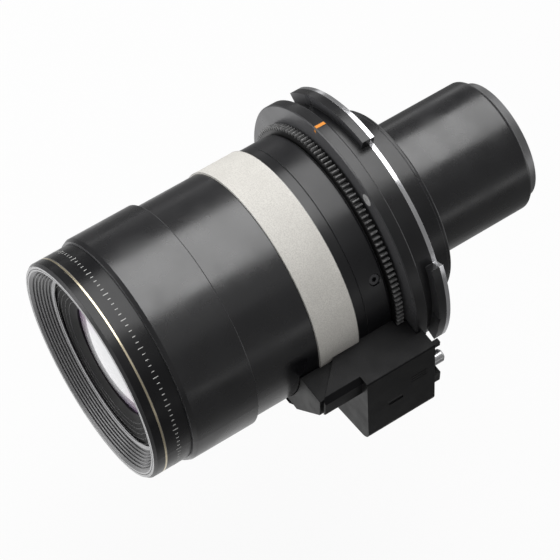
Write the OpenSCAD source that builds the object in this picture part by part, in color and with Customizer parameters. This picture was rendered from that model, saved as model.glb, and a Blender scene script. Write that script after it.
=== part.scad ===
// Motorised projection zoom lens.
// The optical axis is Y: the front glass looks along -Y, the projector is on +Y.
// The origin is the centre of the seat face of the mounting flange, and +Z is up.
// A direction around the axis is an angle measured from +X towards +Z.

/* [Flange and bayonet] */
// Diameter of the mounting flange
flange_d = 134; // [130:0.5:138]
// Thickness of the mounting flange
flange_t = 6.1; // [5:0.1:8]
// Step from the flange in to the locating spigot behind it
spigot_step = 5; // [4.5:0.1:7]
// Length of the spigot up to the bright plate
spigot_len = 10.2; // [9.5:0.1:12]
// Thickness of the bright plate
plate_t = 2.1; // [1.5:0.1:3]
// How far the bayonet lugs stand out beyond the flange
lug_out = 0.5; // [-0.5:0.1:2]
// Length of the lugs in front of the bright plate
lug_len = 4.2; // [3:0.1:6]
// Step from the flange in to the collar behind the plate
collar_step = 19; // [17:0.5:21]
// Height of the collar above the seat face of the plate
collar_len = 17.3; // [14:0.1:22]
// Step from the collar in to the narrow rear tube
tube_step = 13.7; // [12:0.1:15]
// Length of the rear tube that stands out of the collar
rear_tube_len = 57.5; // [50:0.5:70]
// Length of the retaining rim that stands out of the rear tube
rear_rim_len = 4.5; // [3:0.1:6]

/* [Outer barrels] */
// Gap between the flange and the toothed ring
gear_gap = 1.2; // [0.8:0.1:2]
// Width of the toothed ring of the zoom
gear_w = 3.6; // [3:0.1:5]
// Gap between the toothed ring and the smooth barrel
barrel_gap = 0.5; // [0.3:0.1:1]
// Length of the smooth barrel up to its groove
smooth_len = 13.6; // [10:0.1:18]
// Length of the step between the groove and the pale band
step_len = 5.6; // [4:0.1:8]
// Width of the pale band
band_len = 21.6; // [18:0.1:26]
// Length of the casing that shows between the band and the front barrel
casing_len = 34.1; // [26:0.1:38]
// Length of the front barrel
shell_len = 34.7; // [30:0.1:38]
// Length of the name ring up to the front face
name_len = 19.5; // [17:0.1:24]
// Step from the flange in to the front barrel
front_step = 9.6; // [8:0.1:10]
// Step from the front barrel in to the casing
casing_step = 2.1; // [1.8:0.1:3]
// Step from the casing in to the smooth barrel
barrel_step = 0.3; // [0.1:0.1:0.8]
// Step from the front barrel in to the name ring
name_step = 2; // [1.5:0.1:2.5]
// Thickness of the pale band
band_t = 0.7; // [0.4:0.05:1.2]

/* [Optics] */
// Step from the front barrel in to the edge of the front glass
glass_step = 17.4; // [16.5:0.1:19]
// Width of the dark ring over the edge of the front glass
baffle_w = 11; // [9:0.5:14]
// Step from the edge of the front glass in to the lenses behind it
inner_step = 4; // [3:0.5:7]
// Wall of the cells of the two zoom groups
cell_wall = 5.4; // [4.5:0.1:8]
// Wall of the rear tube
rear_wall = 3.1; // [2.8:0.1:6]

/* [Zoom and focus travel] */
// Turn of the zoom ring
zoom_turn = 75; // [40:1:80]
// Travel of the variator group
variator_travel = 16; // [8:0.5:18]
// Travel of the compensator group
compensator_travel = 8; // [4:0.5:9]
// Turn of the focus ring
focus_turn = 90; // [45:1:100]
// Travel of the front group
focus_travel = 5; // [2:0.5:6]
// Teeth of the zoom ring
zoom_teeth = 132; // [128:1:134]
// Teeth of the zoom pinion
zoom_pinion_teeth = 18; // [17:1:20]
// Teeth of the focus ring
focus_teeth = 124; // [123:1:125]
// Teeth of the focus pinion
focus_pinion_teeth = 22; // [20:1:23]

/* [Drive block] */
// Height of the top face of the block above the optical axis
block_top = 2; // [0:0.5:6]
// Distance of the outer side of the block from the optical axis
block_reach = 77.2; // [75:0.2:80]
// Depth of the outer corner of the block below the optical axis
block_depth = 44; // [42:0.5:48]
// Length of the deep part of the block
block_len = 37.7; // [37:0.1:40]
// Length of the hood in front of the deep part
hood_len = 20.5; // [16:0.5:24]
// Wall of the block's cover
block_wall = 1.8; // [1.2:0.1:2]
// Diameter of the focus motor
focus_motor_d = 12; // [10:0.5:12.5]
// Diameter of the zoom motor
zoom_motor_d = 13; // [10:0.5:13.5]
// Length of both motors
motor_len = 17; // [14:0.5:18]
// Diameter of the guide pin
guide_pin_d = 6.5; // [5:0.1:7]

/* [Hidden] */
$fn = 180;

// Overrun of every cut past the face that it leaves
over = 1;
// Clearance between pieces that move past each other
clear = 0.3;
// Radial clearance of a turned fit that slides or turns
run = 0.1;
// Radial clearance of a fit that is fixed for good
fit = 0.05;

// Colours of the finishes
black_c = [0.10, 0.10, 0.11];
satin_c = [0.16, 0.16, 0.17];
grey_c = [0.74, 0.73, 0.70];
silver_c = [0.80, 0.80, 0.82];
brass_c = [0.80, 0.68, 0.42];
glass_c = [0.80, 0.80, 0.92, 0.6];

// Radii that follow the flange from the outside inwards
flange_r = flange_d / 2;
spigot_r = flange_r - spigot_step;
lug_r = flange_r + lug_out;
collar_r = flange_r - collar_step;
rear_tube_r = collar_r - tube_step;
shell_r = flange_r - front_step;
casing_r = shell_r - casing_step;
barrel_r = casing_r - barrel_step;
name_r = shell_r - name_step;

// The drive block is drawn for a flange of this diameter and grows with the flange
drawn_d = 134;
k = flange_d / drawn_d;

// Stations along the axis in front of the seat face
y_flange = -flange_t;
y_gear_rear = y_flange - gear_gap;
y_gear_front = y_gear_rear - gear_w;
y_barrel_rear = y_gear_front - barrel_gap;
y_groove = y_barrel_rear - smooth_len;
y_band_rear = y_groove - step_len;
y_band_front = y_band_rear - band_len;
y_shell_rear = y_band_front - casing_len;
y_shell_front = y_shell_rear - shell_len;
y_front = y_shell_front - name_len;

// Stations along the axis behind the seat face
y_plate = spigot_len;
y_plate_rear = y_plate + plate_t;
y_collar = y_plate + collar_len;
y_tube_rear = y_collar + rear_tube_len;
y_rear = y_tube_rear + rear_rim_len;

// Nested tubes from the inside outwards
cell_step = 14;
cell_r = shell_r - cell_step;
guide_in = cell_r + run;
guide_wall = 2.8;
guide_out = guide_in + guide_wall;
cam_in = guide_out + run;
cam_wall = 3.25;
cam_out = cam_in + cam_wall;
main_in = cam_out + run;
main_wall = 2.35;
main_out = main_in + main_wall;
focus_in = main_out + run;
focus_wall = 1.35;
focus_out = focus_in + focus_wall;
casing_wall = 1.3;
casing_in = casing_r - casing_wall;
shell_gap = 0.4;
shell_in = casing_r + shell_gap;
sleeve_gap = 0.15;
sleeve_out = main_in - sleeve_gap;
band_in = casing_r + fit;
band_out = band_in + band_t;
seat_wall = 3.25;
seat_r = main_in + seat_wall;

// Followers, pins and their slots
follower_r = 2.5;
drive_r = 1.4;
slot_gap = 0.15;
follower_count = 3;
follower_step = 360 / follower_count;
follower_phi = 90;
tip_gap = 0.25;
follower_tip = cam_out - tip_gap;
follower_in = 2.4;
follower_root = cell_r - follower_in;
slot_step = 12.5;

// Gears
zoom_rise = 2.75;
focus_drop = 1.06;
pressure = 20;
tooth_share = 0.9;
dedendum_share = 1.25;
zoom_pitch = barrel_r + zoom_rise;
zoom_m = 2 * zoom_pitch / zoom_teeth;
zoom_pinion_r = zoom_m * zoom_pinion_teeth / 2;
focus_pitch = barrel_r - focus_drop;
focus_m = 2 * focus_pitch / focus_teeth;
focus_pinion_r = focus_m * focus_pinion_teeth / 2;
zoom_phi = -34;
focus_phi = -12;
zoom_centre = zoom_pitch + zoom_pinion_r;
focus_centre = focus_pitch + focus_pinion_r;
shaft_r = 1;
pinion_side = 0.2;

// Main barrel
tube_front_gap = 9;
y_main_front = y_shell_front + tube_front_gap;
seat_len = 2.2;
y_seat = y_band_rear - seat_len;
groove_w = 0.4;
groove_d = 0.4;
edge_r = 1.5;
edge_steps = 6;

// Focus ring
y_focus_rear = y_seat - clear;
focus_gear_w = 4.2;
y_focus_gear = y_focus_rear - focus_gear_w;
focus_pin_in = 5.7;
y_focus_pin = y_shell_rear - focus_pin_in;

// Casing
casing_rear_gap = 4.5;
y_casing_rear = y_focus_gear - casing_rear_gap;
casing_lip = 2.5;
casing_back = 1;
y_casing_front = y_main_front + casing_back;
y_casing_screw = y_casing_front + casing_lip / 2;
y_focus_front = y_casing_front + casing_lip + clear;

// Front group
trim_w = 0.9;
front_ring_len = 5.5;
y_trim = y_front + front_ring_len;
y_name_front = y_trim + trim_w;
web_t = 3.5;
sleeve_flange_t = 2.5;
shell_lead = 2;
shell_step = 0.9;
shell_edge = 0.4;
name_wall = 2;
name_edge = 0.2;
name_in = name_r - name_wall;
sleeve_flange_r = name_in - run;
sleeve_nose = 9;
y_sleeve_front = y_shell_front - sleeve_nose;
sleeve_tail = 14;
y_sleeve_rear = y_focus_pin + sleeve_tail;
baffle_step = 1.2;
y_baffle_seat = y_sleeve_front + baffle_step;
baffle_out = 1;
y_baffle_front = y_sleeve_front - baffle_out;
rim_step = 6.4;
rim_in = shell_r - rim_step;
rim_edge = 1;
rim_edge_len = 1.4;
rim_groove_out = 2;
rim_groove_r = rim_in + rim_groove_out;
rim_groove_w = 0.3;
rim_groove_d = 0.4;
cone_w = 6.5;
cone_in = rim_in - cone_w;
cone_lip = 0.8;
land_w = 1.5;
land_in = cone_in - land_w;
land_lip = 1.2;
cone_depth = 6.5;
cone_ridges = 6;
ridge_depth = 0.9;
ridge_shares = [0.3, 0.8];
baffle_rest = 6;
baffle_flat = 2.8;
baffle_lip = 0.8;
baffle_depth = 3;
skirt_t = 1.75;
skirt_step = 1.2;
front_glass_r = shell_r - glass_step;
baffle_r = front_glass_r + baffle_rest;
front_clear_r = front_glass_r - baffle_w;
front_inner_r = front_glass_r - inner_step;
front_curve = 90;
glass_gap = 0.2;
ring_w = 2;
y_glass_vertex = y_baffle_front + baffle_depth + glass_gap - sag(front_curve, front_clear_r);
y_glass_edge = y_glass_vertex + sag(front_curve, front_glass_r - ring_w);
front_glass_t = 7.2;
y_glass_seat = y_glass_edge + front_glass_t;
glass_stop_t = 4;
glass_stop = 2;
y_inner_seat = y_glass_seat + glass_stop_t;
lens_2_t = 13;
lens_2_curve = -160;
spacer_t = 2;
lens_3_t = 4;
lens_3_curve = 120;
retainer_t = 3;
y_lens_3 = y_inner_seat + lens_2_t + spacer_t;
y_front_retainer = y_lens_3 + lens_3_t;
sleeve_wall = 3;
inner_wall = 2.45;

// Zoom groups at rest
zoom_glass_r = cell_r - cell_wall;
y_variator_pin = -46;
variator_front = 14;
variator_rear = 10;
y_variator = y_variator_pin - variator_front;
y_variator_rear = y_variator_pin + variator_rear;
cell_stop_t = 2;
variator_lens_2_t = 12;
variator_lens_2_curve = -150;
variator_lens_1_t = 6.5;
variator_lens_1_curve = -200;
y_variator_2 = y_variator_rear - cell_stop_t - variator_lens_2_t;
y_variator_1 = y_variator_2 - variator_lens_1_t;
y_compensator_pin = -7;
compensator_front = 7;
compensator_rear = 7;
y_compensator = y_compensator_pin - compensator_front;
y_compensator_rear = y_compensator_pin + compensator_rear;
compensator_lens_t = 5;
compensator_curve = 90;
y_compensator_lens = y_compensator_rear - cell_stop_t - compensator_lens_t;
drive_phi = follower_phi + zoom_turn / 2 + follower_step / 2;
y_drive = (y_gear_rear + y_gear_front) / 2;
drive_sink = 0.5;
drive_root = cam_in + drive_sink;
drive_reach = 2.5;
drive_top = seat_r + drive_reach;
cam_end = 8;
y_cam_front = y_variator_pin - cam_end;
guide_short = 2;
clamp_t = 1.6;
clamp_w = 6.1;
clamp_r = spigot_r - clamp_w;
y_clamp = y_plate - 2 * clamp_t;
y_cam_rear = y_clamp - clear;

// Rear group
collar_wall = 3.5;
collar_floor_t = 5.5;
collar_edge = 0.8;
collar_line_in = 2;
collar_line = 0.15;
y_collar_floor = y_collar - collar_floor_t;
tube_flange_t = 2;
tube_flange_w = 5.5;
y_tube_front = y_collar_floor - tube_flange_t;
rear_glass_r = rear_tube_r - rear_wall;
rear_bore = rear_glass_r + run;
rear_stop_len = 12;
y_rear_1 = y_tube_front + rear_stop_len;
rear_1_t = 8;
rear_1_curve = 70;
rear_gap_1 = 10;
y_rear_2 = y_rear_1 + rear_1_t + rear_gap_1;
rear_2_t = 10;
rear_2_curve = -120;
rear_gap_2 = 6;
y_rear_3 = y_rear_2 + rear_2_t + rear_gap_2;
rear_3_t = 8;
rear_3_curve = 60;
y_rear_retainer = y_rear_3 + rear_3_t;
tube_edge = 2;
rim_wall = 5.2;
rim_chamfer = 0.7;

// Bayonet lugs: start angle, end angle, and which end is ramped
lugs = [[87, 143, 1], [-15, 29, -1], [215, 265, 1]];
lug_ramp = 14;

// Screws and marks
screw_r = 1;
screw_head_r = 1.6;
screw_head_t = 1.2;
screw_len = 6;
screw_slot_w = 0.5;
screw_slot_d = 0.5;
screw_slot_share = 0.6;
barrel_screw_in = 1.4;
barrel_screw_r = seat_r - barrel_screw_in;
casing_screw_count = 3;
barrel_screw_count = 4;
flange_edge = 0.5;
flange_screw_in = 4.7;
flange_screw_r = flange_r - flange_screw_in;
flange_screw_phi = 67;
flange_screw_head = 3;
flange_screw_count = 3;
flange_screw_len = 3.5;
plate_screw_len = 15;
plate_screw_count = 6;
plate_screw_phi = 72;
plate_screw_r = (clamp_r + spigot_r) / 2;
set_phi = 32;
set_in = 4.9;
y_set = y_barrel_rear - set_in;
set_r = 3;
set_body_r = 2.6;
set_sink = 0.8;
set_len = 3.4;
hex_r = 1.2;
ring_floor_t = 3;
mark_phi = 104.5;
mark_w = 1.9;
mark_t = 0.35;
mark_dot = 1.1;
mark_dot_len = 1.7;

// Drive block
top_z = block_top * k;
side_x = block_reach * k;
corner_depth = block_depth * k;
block_gap = 3.3;
y_block_rear = -block_gap;
y_block_front = y_block_rear - block_len;
y_hood_front = y_block_front - hood_len;
side_lean = 2.9 * k;
block_corner = 6;
block_edge = 0.8;
belly_x = 55 * k;
belly_z = -49 * k;
toe_x = 46 * k;
toe_z = -53 * k;
toe_in_x = 40.5 * k;
toe_in_z = -44 * k;
hood_top_in = 5.8 * k;
hood_side_in = 3.3 * k;
hood_chamfer = 2.6;
hood_side = 11 * k;
hood_under_x = 51.5 * k;
hood_under_z = -34.7 * k;
hood_toe_x = 46.7 * k;
hood_toe_z = -36.4 * k;
hood_corner = 3.4;
hood_t = 2.4;
nose_out = 1.2;
nose_wall = 2.2;
nose_chamfer = 4;
cradle_t = 1;
cradle_from = -34;
cradle_to = -4;
base_web_t = 1.6;
web_gap = 0.6;
y_web_front = y_focus_rear + web_gap;
y_motor_front = y_web_front + base_web_t;
web_rear_gap = 0.2;
y_web_rear = y_barrel_rear - web_rear_gap;
y_zoom_motor = y_web_rear - base_web_t;
bearing_len = 3;
boss_r = 2;
board_t = 1.6;
board_x = 72.5 * k;
board_top = -3 * k;
board_h = 35 * k;
chip_t = 1.2;
chip_w = 7;
pin_x = 69.3 * k;
pin_z = -27 * k;
pin_reach = 8;
pin_chamfer = 1;
pin_neck = 0.5;
pin_neck_len = 0.5;
connector_x = 64.2 * k;
connector_w = 10.8 * k;
connector_z = -38.2 * k;
connector_h = 7 * k;
connector_out = 3.5;
connector_wall = 1.1;
connector_deep = 6;
contact_r = 0.4;
contact_rows = 2;
contact_columns = 5;
contact_recess = 1;
cover_screws_at = [[72.6, -10] * k, [73, -41] * k];
base_screw_phi = -23;
base_screw_pitch = 10;
base_screw_in = 5.4;
y_base_screw = y_web_rear - base_screw_in - base_screw_pitch;
base_screw_len = 5.2;
cradle_r = band_out + clear + cradle_t;
base_screw_seat = cradle_r - screw_head_t;
base_screw_root = base_screw_seat - base_screw_len;
flange_gap = 0.4;
pocket_d = 0.4;
pocket_y = -25.3;
pocket_z = -23 * k;
pocket_w = 8;
pocket_h = 3;
rib_count = 3;
rib_pitch = 1.8;
rib_z = -12.4 * k;
rib_len = 9;
rib_w = 0.5;
rib_d = 0.25;
tab_x = 74 * k;
tab_w = 2.4;
tab_z = -2 * k;
tab_h = 3;
tab_out = 3.5;

// Outline of the deep part of the block, anticlockwise in X and Z
root_x = 50 * k;
block_slope = side_lean / (corner_depth - block_corner);
block_pts = [[root_x, top_z], [toe_in_x, toe_in_z], [toe_x, toe_z], [belly_x, belly_z],
    [side_x + (top_z + corner_depth) * block_slope, -corner_depth],
    [side_x, top_z]];
block_radii = [0, 0, block_edge, 0, block_corner, block_edge];

// Outline of the hood in front of it
hood_x = side_x - hood_side_in;
hood_pts = [[root_x, top_z], [toe_in_x, hood_toe_z], [hood_toe_x, hood_toe_z],
    [hood_under_x, hood_under_z], [hood_x, top_z - hood_side],
    [hood_x, top_z - hood_chamfer], [side_x - hood_top_in, top_z]];

// Outline of the nose of the base, which closes the hood from below
nose_x = hood_x - hood_t - clear;
nose_top = top_z - hood_t - clear;
nose_low = meet([hood_x, top_z - hood_side],
    [hood_under_x - hood_x, hood_under_z - top_z + hood_side], [nose_x, 0], [0, 1]);
nose_pts = [[root_x, nose_top], [toe_in_x, hood_toe_z], [hood_toe_x, hood_toe_z],
    [hood_under_x, hood_under_z], nose_low, [nose_x, nose_top]];
y_nose = y_hood_front - nose_out;

// Depth of a spherical cap of the given curve at the given radius
function sag(curve, r) = abs(curve) - sqrt(curve * curve - r * r);
// Point on a circle
function polar(r, a) = [r * cos(a), r * sin(a)];
// Unit vector and its left-hand normal
function unit(v) = v / norm(v);
function left(v) = [-v[1], v[0]];
// Where two lines cross, each given by a point and a direction
function cross2(a, b) = a[0] * b[1] - a[1] * b[0];
function meet(p, u, q, v) = p + u * cross2(q - p, v) / cross2(u, v);
// Outline drawn inwards by a wall, for points that run anticlockwise
function inset(pts, d) = [for (i = [0:len(pts) - 1])
    let(n = len(pts), p = pts[i], a = unit(p - pts[(i + n - 1) % n]),
        b = unit(pts[(i + 1) % n] - p))
    meet(p + left(a) * d, a, p + left(b) * d, b)];
// Outline whose corner i is rounded by radii[i], with an arc of a few steps
function rounded(pts, radii, steps = 8) = [for (i = [0:len(pts) - 1])
    let(n = len(pts), p = pts[i], a = unit(p - pts[(i + n - 1) % n]),
        b = unit(pts[(i + 1) % n] - p), turn = atan2(cross2(a, b), a * b),
        r = radii[i], back = r * tan(turn / 2), c = p - a * back + left(a) * r)
    for (k = [0:r > 0 ? steps : 0])
        r > 0 ? c + rot(-left(a) * r, turn * k / steps) : p];
function rot(v, a) = [v[0] * cos(a) - v[1] * sin(a), v[0] * sin(a) + v[1] * cos(a)];

// Straight cylinder along the optical axis
module rod(r, y0, y1) {
    translate([0, y0, 0]) rotate([-90, 0, 0]) cylinder(r = r, h = y1 - y0);
}
// Plain ring along the optical axis
module ring(r_out, r_in, y0, y1) {
    difference() {
        rod(r_out, y0, y1);
        rod(r_in, y0 - over, y1 + over);
    }
}
// Solid of revolution from points [radius, station]
module turned(points) {
    rotate([-90, 0, 0]) rotate_extrude() polygon(points);
}
// Outline drawn in X and Z, with thickness along the axis
module slab(y0, y1) {
    translate([0, y1, 0]) rotate([90, 0, 0]) linear_extrude(y1 - y0) children();
}
// Turns a child that points along +X to the given direction
module toward(phi) {
    rotate([0, -phi, 0]) children();
}
// Copies a child all round the axis
module around(count, first = 0) {
    for (k = [0:count - 1]) toward(first + k * 360 / count) children();
}
// Cylinder that points away from the axis
module spoke(r, y, r0, r1) {
    translate([r0, y, 0]) rotate([0, 90, 0]) cylinder(r = r, h = r1 - r0);
}
// Wedge outline from the axis between two directions less than 180 degrees apart
module wedge(r, a0, a1) {
    far = r / cos((a1 - a0) / 4);
    polygon([[0, 0], polar(far, a0), polar(far, (a0 + a1) / 2), polar(far, a1)]);
}
// Part of a ring between two directions
module ring_part(r_out, r_in, y0, y1, a0, a1) {
    intersection() {
        ring(r_out, r_in, y0, y1);
        slab(y0 - over, y1 + over) wedge(r_out + over, a0, a1);
    }
}
// Straight slot along the axis for a follower that points outwards
module straight_slot(r, y0, y1, r0, r1) {
    spoke(r, y0, r0, r1);
    spoke(r, y1, r0, r1);
    translate([r0, y0, -r]) cube([r1 - r0, y1 - y0, 2 * r]);
}
// Slot round the axis, centred on one direction, for a pin of radius r that turns through it
module ring_slot(r, y, r0, r1, phi, turn) {
    half = turn / 2 + asin(r / r0);
    toward(phi + 180)
        ring_part(r1, r0, y - r, y + r, 180 - half, 180 + half);
}
// Helical cam slot from direction 0 and station y, made of short straight stretches
module cam_slot(r, y, r0, r1, travel, turn) {
    steps = ceil(turn / slot_step);
    step = turn / steps;
    climb = travel / steps;
    slope = atan2(climb, r1 * step * PI / 180);
    reach = 2 * r1 * tan(step / 2) / cos(slope);
    spoke(r, y, r0, r1);
    toward(turn) translate([0, travel, 0]) spoke(r, y, r0, r1);
    for (k = [0:steps - 1])
        toward((k + 1 / 2) * step)
            translate([r0, y + (k + 1 / 2) * climb, 0])
            rotate([-slope, 0, 0])
            translate([0, -r, -reach / 2])
            cube([r1 - r0, 2 * r, reach]);
}

// Angle between the radius and the involute at a pressure angle
function inv(a) = tan(a) * 180 / PI - a;
// Half of a tooth's angle at radius r
function half_tooth(m, z, r) = let(base = m * z / 2 * cos(pressure))
    90 / z * tooth_share + inv(pressure) - (r > base ? inv(acos(base / r)) : 0);
// Outline of a spur gear with one tooth centred on direction 0
module gear_outline(m, z, flank_steps) {
    root = m * (z / 2 - dedendum_share);
    tip = m * (z / 2 + 1);
    radii = [for (i = [0:flank_steps]) root + (tip - root) * i / flank_steps];
    polygon([for (k = [0:z - 1]) for (s = [-1, 1]) for (i = [0:flank_steps])
        let(r = radii[s < 0 ? i : flank_steps - i])
        polar(r, k * 360 / z + s * half_tooth(m, z, r))]);
}
// Spur pinion on a shaft at a direction, with a gap of teeth facing the axis
module pinion(m, z, y0, y1) {
    slab(y0, y1) difference() {
        rotate(180 + 180 / z) gear_outline(m, z, 4);
        circle(r = shaft_r + fit);
    }
}
// Moves a child from the optical axis to a pinion's own axis
module at_pinion(centre, phi) {
    toward(phi) translate([centre, 0, 0]) children();
}

// Lens between seats at y and y + t: a positive curve bulges outwards from the inner edge
// of its seat, a negative one is hollow inside its seat, and zero is flat
module lens(r, y, t, front, back) {
    seat = r - ring_w;
    y0 = front > 0 ? y - sag(front, seat) : y;
    y1 = back > 0 ? y + t + sag(back, seat) : y + t;
    difference() {
        intersection() {
            rod(r, y0, y1);
            if (front > 0) translate([0, y0 + front, 0]) sphere(r = front);
            else rod(r + over, y0 - over, y1 + over);
            if (back > 0) translate([0, y1 - back, 0]) sphere(r = back);
            else rod(r + over, y0 - over, y1 + over);
        }
        if (front < 0) translate([0, y + sag(front, seat) + front, 0]) sphere(r = -front);
        if (back < 0) translate([0, y + t - sag(back, seat) - back, 0]) sphere(r = -back);
    }
}
// Screw along +Y whose head's underside is at the origin, with a cross slot
module screw(length, head_r, head_t, shank_r) {
    difference() {
        union() {
            rod(shank_r, -length, 0);
            rod(head_r, 0, head_t);
        }
        for (a = [0, 90])
            rotate([0, a, 0])
            translate([-head_r * screw_slot_share, head_t - screw_slot_d, -screw_slot_w / 2])
            cube([2 * head_r * screw_slot_share, screw_slot_d + over, screw_slot_w]);
    }
}
// Screw that points away from the optical axis, with its head's underside at radius r
module radial_screw(r, y, length, head_r, head_t, shank_r) {
    translate([r, y, 0]) rotate([0, 0, -90]) screw(length, head_r, head_t, shank_r);
}
// Rounded rear edge of a barrel, as points from the outside inwards
function round_edge(r, y, e) = [for (k = [0:edge_steps])
    [r - e, y - e] + polar(e, k * 90 / edge_steps)];

module main_barrel() {
    color(satin_c)
    difference() {
        turned(concat(
            [[main_in, y_main_front], [main_out, y_main_front], [main_out, y_seat],
             [casing_r, y_seat], [casing_r, y_band_rear], [barrel_r, y_band_rear],
             [barrel_r, y_groove - groove_w / 2], [barrel_r - groove_d, y_groove - groove_w / 2],
             [barrel_r - groove_d, y_groove + groove_w / 2], [barrel_r, y_groove + groove_w / 2]],
            round_edge(barrel_r, y_barrel_rear, edge_r),
            [[seat_r, y_barrel_rear], [seat_r, 0], [main_in, 0]]));
        around(follower_count, follower_phi)
            straight_slot(follower_r + slot_gap, y_focus_pin - focus_travel, y_focus_pin,
                main_in - over, main_out + over);
        for (k = [0:follower_count - 1])
            ring_slot(drive_r + clear, y_drive, main_in - over, seat_r + over,
                drive_phi + k * follower_step - zoom_turn / 2, zoom_turn);
        toward(set_phi) spoke(set_r, y_set, barrel_r - set_len - set_sink, barrel_r + over);
        around(barrel_screw_count, follower_phi / 2) translate([barrel_screw_r, 0, 0])
            rod(screw_r + fit, fit - screw_len + screw_head_t, over);
        around(casing_screw_count) spoke(screw_r + fit, y_casing_screw,
            main_in - over, main_out + over);
        for (k = [0, 1])
            toward(base_screw_phi) spoke(screw_r + fit, y_base_screw + k * base_screw_pitch,
                base_screw_root, barrel_r + over);
    }
}
module casing() {
    color(black_c)
    difference() {
        turned([[focus_in - run + fit, y_casing_front], [casing_r, y_casing_front],
            [casing_r, y_casing_rear], [casing_in, y_casing_rear],
            [casing_in, y_casing_front + casing_lip],
            [focus_in - run + fit, y_casing_front + casing_lip]]);
        around(casing_screw_count) spoke(screw_r + fit, y_casing_screw,
            main_out - over, casing_r + over);
        around(casing_screw_count) spoke(screw_head_r + fit, y_casing_screw,
            casing_r - screw_head_t, casing_r + over);
    }
}
// The same small screws hold the barrel to the bayonet ring and the casing to the barrel
module barrel_screws() {
    color(silver_c) {
        around(barrel_screw_count, follower_phi / 2) translate([barrel_screw_r, ring_floor_t, 0])
            screw(screw_len - screw_head_t, screw_head_r, screw_head_t, screw_r);
        around(casing_screw_count)
            radial_screw(casing_r - screw_head_t, y_casing_screw,
                casing_r - screw_head_t - main_in - clear, screw_head_r, screw_head_t, screw_r);
    }
}
// Space that the focus pinion needs
module focus_pinion_space() {
    at_pinion(focus_centre, focus_phi)
        rod(focus_pinion_r + focus_m + clear, y_focus_gear - clear, y_focus_rear + clear);
}
module grey_band() {
    color(grey_c)
    difference() {
        ring(band_out, band_in, y_band_front, y_band_rear);
        focus_pinion_space();
    }
}
module set_screw() {
    color(silver_c)
    toward(set_phi)
    difference() {
        spoke(set_body_r, y_set, barrel_r - set_len - set_sink, barrel_r - set_sink);
        translate([barrel_r - set_sink - 2 * hex_r, y_set, 0]) rotate([0, 90, 0])
            cylinder(r = hex_r, h = 2 * hex_r + over, $fn = 6);
    }
}

module mount_flange() {
    color(satin_c)
    difference() {
        turned([[seat_r + fit, y_flange], [flange_r - flange_edge, y_flange],
            [flange_r, y_flange + flange_edge], [flange_r, -flange_edge],
            [flange_r - flange_edge, 0], [seat_r + fit, 0]]);
        around(flange_screw_count, flange_screw_phi) translate([flange_screw_r, 0, 0]) {
            rod(screw_r + fit, y_flange, y_flange + screw_head_t + flange_screw_len + fit);
            rod(flange_screw_head + fit, y_flange - over, y_flange + screw_head_t);
        }
        around(plate_screw_count, plate_screw_phi) translate([plate_screw_r, 0, 0])
            rod(screw_r + fit, y_plate_rear - screw_head_t - plate_screw_len - fit, over);
        toward(mark_phi) marks(over);
    }
}
// Bar on the rim of the flange and dot on its front face, which start below the surface
module marks(rise) {
    translate([flange_r - mark_t, y_flange + flange_edge + fit, -mark_w / 2])
        cube([mark_t + rise, flange_t - 2 * flange_edge - 2 * fit, mark_w]);
    translate([flange_r - 2 * flange_edge - mark_dot_len, y_flange - rise, -mark_dot / 2])
        cube([mark_dot_len, mark_t + rise, mark_dot]);
}
// Paint that fills both shallow engraved marks
module index_mark() {
    color([0.95, 0.55, 0.12])
    toward(mark_phi) marks(0);
}
module flange_screws() {
    color(silver_c)
    around(flange_screw_count, flange_screw_phi)
        translate([flange_screw_r, y_flange + screw_head_t, 0]) rotate([180, 0, 0])
        screw(flange_screw_len, flange_screw_head, screw_head_t, screw_r);
}

// Outline of the spigot with its lugs, for the ring and for the plate
module lug_outline(r) {
    circle(r = spigot_r);
    for (lug = lugs)
        intersection() {
            circle(r = r);
            wedge(r + over, lug[0], lug[1]);
        }
}
// Slope at the end of a lug, cut from the front
module lug_ramps() {
    for (lug = lugs) {
        from = lug[2] > 0 ? lug[1] : lug[0];
        run_len = 2 * lug_r * sin(lug_ramp / 2);
        toward(from - lug[2] * lug_ramp)
            translate([spigot_r + clear, y_plate - lug_len, 0])
            mirror([0, 0, lug[2] > 0 ? 0 : 1])
            rotate([atan2(lug_len, run_len), 0, 0])
            translate([0, -lug_len - over, -lug_len])
            cube([lug_r, lug_len + over, lug_len + 2 * run_len]);
    }
}
module bayonet_ring() {
    color(satin_c)
    difference() {
        union() {
            rod(spigot_r, 0, y_plate);
            difference() {
                slab(y_plate - lug_len, y_plate) lug_outline(lug_r);
                lug_ramps();
            }
        }
        rod(cam_out + clear, -over, y_plate + over);
        rod(barrel_screw_r + screw_head_r + clear, ring_floor_t, y_plate + over);
        rod(clamp_r + fit, y_clamp, y_plate + over);
        around(barrel_screw_count, follower_phi / 2) translate([barrel_screw_r, 0, 0])
            rod(screw_r + fit, -over, ring_floor_t + over);
        around(plate_screw_count, plate_screw_phi) translate([plate_screw_r, 0, 0])
            rod(screw_r + fit, -over, y_plate + over);
    }
}
module bayonet_plate() {
    color(silver_c)
    difference() {
        slab(y_plate, y_plate_rear) lug_outline(lug_r);
        rod(collar_r + run, y_plate - over, y_plate_rear + over);
        around(plate_screw_count, plate_screw_phi) translate([plate_screw_r, 0, 0]) {
            rod(screw_r + clear, y_plate - over, y_plate_rear + over);
            rod(screw_head_r + run, y_plate_rear - screw_head_t, y_plate_rear + over);
        }
    }
}
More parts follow.
